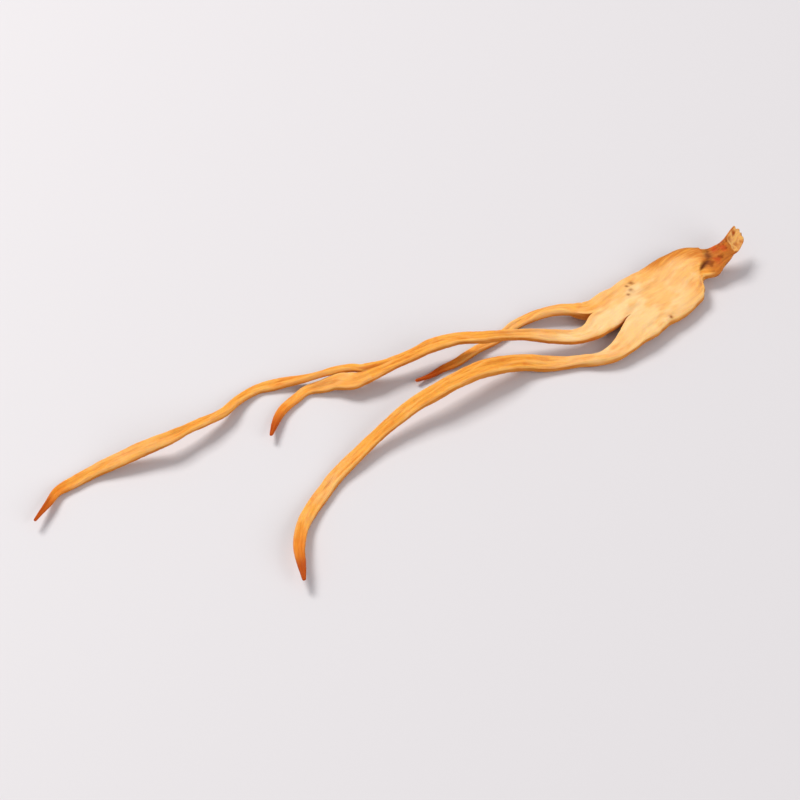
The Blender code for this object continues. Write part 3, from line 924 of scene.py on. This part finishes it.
# The foot ends a little sooner on its far side, under a dark shoulder
foot_end = FOOT_END - 0.6 * smooth_step(-aside)
shoulder = bell(way - 3.9, 0.50) * smooth_step((0.2 - aside) / 0.6)

keep_on_points("cream", np.clip(
    cream * (1 - 0.8 * lobe) + 0.25 * patches * on_blade * upward + 0.35 * before_tip, 0, 1
))
keep_on_points("lobe", lobe)
keep_on_points("foot", smooth_step((foot_end - way + 0.7 * patches) / 0.9))
keep_on_points("tip", smooth_step((TIP_RUN - to_tip + 1.5 * patches) / 8.5))
# Painted shade: darker in the furrows, the notches before the forks and the valleys of the wrinkles. On the
# cut face it also holds the painted shade on the hollow's floor, its dark brown rim and the lines between
# its facets
keep_on_points("furrow_shade_and_cut_lines", np.clip(
    1.2 * sunk * (1 - 0.6 * on_blade) + 0.40 * (0.35 - wrinkles) + 0.20 * (0.3 - fine_wrinkles)
    + 0.7 * on_cut * (0.80 - facets), 0, 1
))
# Painted highlight on the crests of the wrinkles
keep_on_points("crest_highlight", np.clip(1.2 * (wrinkles - 0.6) + 0.5 * (fine_wrinkles - 0.65), 0, 1))
# Painted highlight along the rims, stronger on the blade
keep_on_points("rim", rim * (0.4 + 0.6 * on_blade))
# Painted shade on faces that look sideways or down
keep_on_points("underside_shade", 1 - upward)
keep_on_points("stain", stain_cover())
# Painted shadow in the nook across the foot's end; the shoulder and the far edge of the lobe are darkened in
# the same brown
keep_on_points("nook", np.clip(nook + 0.75 * shoulder * (0.65 + patches) + 0.5 * lobe_edge, 0, 1))
keep_on_points("cut", on_cut)
keep_on_points("speck", speck_cover())
flow_kept = mesh.attributes.new("flow", "FLOAT_VECTOR", "POINT")
flow_kept.data.foreach_set("vector", flow.astype(np.float32).ravel())


def paint(red, green, blue):
    """A linear colour from the three levels of 0 to 255 that a screen shows: the screen's own power law."""
    levels = np.array((red, green, blue)) / 255
    linear = np.where(levels <= 0.04045, levels / 12.92, ((levels + 0.055) / 1.055) ** 2.4)
    return (*linear.tolist(), 1.0)


CREAM = paint(253, 212, 152)
GOLD = paint(246, 171, 70)
DEEP_GOLD = paint(231, 142, 46)
# Painted shade, laid in the furrows and on the underside
PAINTED_SHADE_AMBER = paint(168, 80, 14)
MOTTLE = paint(230, 122, 36)
# Painted highlight, on the crests of the wrinkles and along the upper rims
PAINTED_HIGHLIGHT = paint(255, 206, 130)
TIP_ORANGE = paint(226, 128, 30)
RED_TIP = paint(178, 70, 2)
FOOT_TAN = paint(208, 122, 44)
FOOT_BROWN = paint(140, 68, 16)
FOOT_RED = paint(208, 84, 34)
CUT_PALE = paint(255, 190, 108)
CUT_DARK = paint(184, 86, 24)
SPECK_BROWN = paint(146, 74, 10)
# Painted shadow in the nook, also laid on the shoulder and the lobe's far edge
NOOK_SHADOW_BROWN = paint(92, 34, 4)


def make_skin_material():
    """Gold with deeper streaks, on which each further colour is laid by its own cover.

    They are a painted highlight on the crests, mottling, cream, the lobe, painted shade in the furrows and
    on the underside, a painted highlight on the rims, tips, the foot with its stains, the cut face, a
    painted shadow in the nook, and the specks. Fine streaks and grain then shade the whole and roughen it.
    """
    material = bpy.data.materials.new("dried_skin")
    material.use_nodes = True
    tree = material.node_tree
    surface = tree.nodes["Principled BSDF"]

    def node(kind, settings=None, inputs=None):
        """Adds a node, makes its settings, and sets or links its inputs."""
        new = tree.nodes.new(kind)
        for name, value in (settings or {}).items():
            setattr(new, name, value)
        for name, value in (inputs or {}).items():
            if isinstance(value, bpy.types.NodeSocket):
                tree.links.new(value, new.inputs[name])
            else:
                new.inputs[name].default_value = value
        return new

    def kept(name):
        """The value that the mesh keeps on its points under that name."""
        return node("ShaderNodeAttribute", {"attribute_name": name}).outputs["Fac"]

    def scaled_noise(scale, detail):
        """Noise read from the flow, which is first scaled along, across and up."""
        place = node("ShaderNodeVectorMath", {"operation": "MULTIPLY"}, {0: flow_socket, 1: scale})
        new = node("ShaderNodeTexNoise", inputs={
            "Vector": place.outputs[0], "Scale": 1.0, "Detail": detail, "Roughness": 0.55
        })
        return new.outputs["Fac"]

    def spread(value, low, high, bottom=0.0, top=1.0):
        """Maps a value between two limits to between two others, with level ends."""
        new = node("ShaderNodeMapRange", {"interpolation_type": "SMOOTHSTEP"}, {
            "Value": value, "From Min": low, "From Max": high, "To Min": bottom, "To Max": top
        })
        return new.outputs["Result"]

    def times(first, second):
        """The product of two values."""
        return node("ShaderNodeMath", {"operation": "MULTIPLY"}, {0: first, 1: second}).outputs[0]

    def laid_over(below, above, cover, way="MIX"):
        """One colour or paint over another, by a cover between 0 and 1."""
        new = node("ShaderNodeMix", {"data_type": "RGBA", "blend_type": way}, {0: cover, 6: below, 7: above})
        return new.outputs[2]

    flow_socket = node("ShaderNodeAttribute", {"attribute_name": "flow"}).outputs["Vector"]
    long_streaks = scaled_noise((0.35, 3.0, 3.0), 3.0)
    fine_streaks = scaled_noise((0.9, 7.0, 7.0), 2.0)
    patch = scaled_noise((0.25, 0.5, 0.5), 2.0)
    mottle = scaled_noise((0.8, 1.1, 1.1), 3.0)
    grain = scaled_noise((5.0, 7.0, 7.0), 2.0)

    colour = laid_over(GOLD, DEEP_GOLD, spread(long_streaks, 0.42, 0.70))
    # Painted highlight on the crests of the wrinkles
    colour = laid_over(colour, PAINTED_HIGHLIGHT, times(kept("crest_highlight"), 0.45))
    colour = laid_over(colour, MOTTLE, spread(mottle, 0.54, 0.74, 0.0, 0.45))
    colour = laid_over(colour, CREAM, times(kept("cream"), spread(patch, 0.40, 0.60, 1.0, 0.45)))
    colour = laid_over(colour, FOOT_TAN, times(kept("lobe"), spread(long_streaks, 0.35, 0.62, 0.45, 1.0)))
    # Painted shade: amber in the furrows and on faces that look sideways or down
    colour = laid_over(colour, PAINTED_SHADE_AMBER, times(kept("furrow_shade_and_cut_lines"), 0.50))
    colour = laid_over(colour, PAINTED_SHADE_AMBER, times(kept("underside_shade"), 0.55))
    # Painted highlight along the upper rims
    colour = laid_over(colour, PAINTED_HIGHLIGHT, times(kept("rim"), spread(patch, 0.3, 0.6, 0.7, 1.0)))
    colour = laid_over(colour, TIP_ORANGE, spread(kept("tip"), 0.0, 0.6, 0.0, 0.8))
    colour = laid_over(colour, RED_TIP, spread(kept("tip"), 0.55, 1.0, 0.0, 0.9))
    foot_tone = laid_over(FOOT_TAN, FOOT_BROWN, spread(mottle, 0.50, 0.66, 0.0, 0.8))
    foot_tone = laid_over(foot_tone, FOOT_RED, times(kept("stain"), 0.9))
    colour = laid_over(colour, foot_tone, kept("foot"))
    # The cut face: pale, with painted shade on the hollow's floor, a dark brown rim and dark lines between
    # its facets
    cut_tone = laid_over(CUT_PALE, CUT_DARK, kept("furrow_shade_and_cut_lines"))
    colour = laid_over(colour, cut_tone, kept("cut"))
    # Painted shadow in the nook, and the darker shoulder and lobe edge
    colour = laid_over(colour, NOOK_SHADOW_BROWN, kept("nook"))
    colour = laid_over(colour, SPECK_BROWN, kept("speck"))
    shade = node("ShaderNodeCombineColor", inputs={
        "Red": spread(fine_streaks, 0.3, 0.7, 0.94, 1.03),
        "Green": spread(fine_streaks, 0.3, 0.7, 0.90, 1.04),
        "Blue": spread(grain, 0.3, 0.7, 0.84, 1.06),
    }).outputs["Color"]
    colour = laid_over(colour, shade, spread(kept("cream"), 0.0, 1.0, 1.0, 0.5), "MULTIPLY")
    tree.links.new(colour, surface.inputs["Base Color"])
    tree.links.new(spread(grain, 0.3, 0.7, 0.50, 0.72), surface.inputs["Roughness"])
    surface.inputs["Specular IOR Level"].default_value = 0.12
    surface.inputs["Subsurface Weight"].default_value = 0.22
    surface.inputs["Subsurface Radius"].default_value = (1.0, 0.45, 0.15)
    surface.inputs["Subsurface Scale"].default_value = 0.6 * MM

    streak_bump = node("ShaderNodeBump", inputs={
        "Strength": 0.5, "Distance": 0.08 * MM, "Height": fine_streaks
    })
    grain_bump = node("ShaderNodeBump", inputs={
        "Strength": 0.45, "Distance": 0.05 * MM, "Height": grain, "Normal": streak_bump.outputs["Normal"]
    })
    tree.links.new(grain_bump.outputs["Normal"], surface.inputs["Normal"])
    return material


mesh.materials.append(make_skin_material())
fruit_body = bpy.data.objects.new("fruit_body", mesh)
bpy.context.scene.collection.objects.link(fruit_body)
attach(fruit_body, "root")
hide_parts("foot_and_blade", "throat", "upper_stalk", "middle_stalk", "long_tip", "side_tip",
            "lower_stalk")


# Surface
# The fruit body lies loose on a plain pale surface, matt with a faint gloss: one flat square that reaches
# past the picture on every side.

SURFACE_HALF = 1.5

surface_mesh = bpy.data.meshes.new("pale_surface")
surface_mesh.from_pydata(
    [(-SURFACE_HALF, -SURFACE_HALF, 0), (SURFACE_HALF, -SURFACE_HALF, 0),
     (SURFACE_HALF, SURFACE_HALF, 0), (-SURFACE_HALF, SURFACE_HALF, 0)],
    [], [(0, 1, 2, 3)],
)
surface_material = bpy.data.materials.new("pale_surface")
surface_material.use_nodes = True
surface_shader = surface_material.node_tree.nodes["Principled BSDF"]
surface_shader.inputs["Base Color"].default_value = paint(220, 217, 220)
surface_shader.inputs["Roughness"].default_value = 0.55
surface_mesh.materials.append(surface_material)
pale_surface = bpy.data.objects.new("pale_surface", surface_mesh)
bpy.context.scene.collection.objects.link(pale_surface)


# Camera
# The camera looks down at the angle of the photograph. It stands far off, with a long lens, for the mild
# perspective that the photograph has.

CAMERA_ELEVATION = math.radians(47.8)
CAMERA_DISTANCE = 0.40
CAMERA_LENS = 158.0

low_corner, high_corner = (Vector(corner) for corner in cad_box)
target = (low_corner + high_corner) / 2
away = Vector((0.0, -math.cos(CAMERA_ELEVATION), math.sin(CAMERA_ELEVATION)))
camera_data = bpy.data.cameras.new("camera")
camera_data.lens = CAMERA_LENS
camera_data.clip_start = 0.01
camera = bpy.data.objects.new("camera", camera_data)
camera.location = target + CAMERA_DISTANCE * away
camera.rotation_euler = (-away).to_track_quat("-Z", "Y").to_euler()
bpy.context.scene.collection.objects.link(camera)
bpy.context.scene.camera = camera


# Light
# Plain soft studio light in a pale room: a strong soft box high on the far left, and a larger, weaker one on
# the near right that lifts the shadows.

def add_soft_box(name, location, size, watts, colour):
    """Adds a square area light that faces the middle of the fruit body."""
    light = bpy.data.lights.new(name, "AREA")
    light.shape = "SQUARE"
    light.size = size
    light.energy = watts
    light.color = colour
    lamp = bpy.data.objects.new(name, light)
    lamp.location = location
    lamp.rotation_euler = (target - Vector(location)).to_track_quat("-Z", "Y").to_euler()
    bpy.context.scene.collection.objects.link(lamp)


add_soft_box("key_light", location=(-0.30, 0.28, 0.50), size=0.26, watts=3.3, colour=(1.0, 0.98, 0.95))
add_soft_box("fill_light", location=(0.45, -0.36, 0.34), size=0.40, watts=1.8, colour=(1.0, 0.99, 0.97))

world = bpy.data.worlds.new("pale_room")
world.use_nodes = True
backdrop = world.node_tree.nodes["Background"]
backdrop.inputs["Color"].default_value = (0.97, 0.97, 1.0, 1.0)
backdrop.inputs["Strength"].default_value = 0.38
bpy.context.scene.world = world
bpy.context.scene.view_settings.view_transform = "Standard"
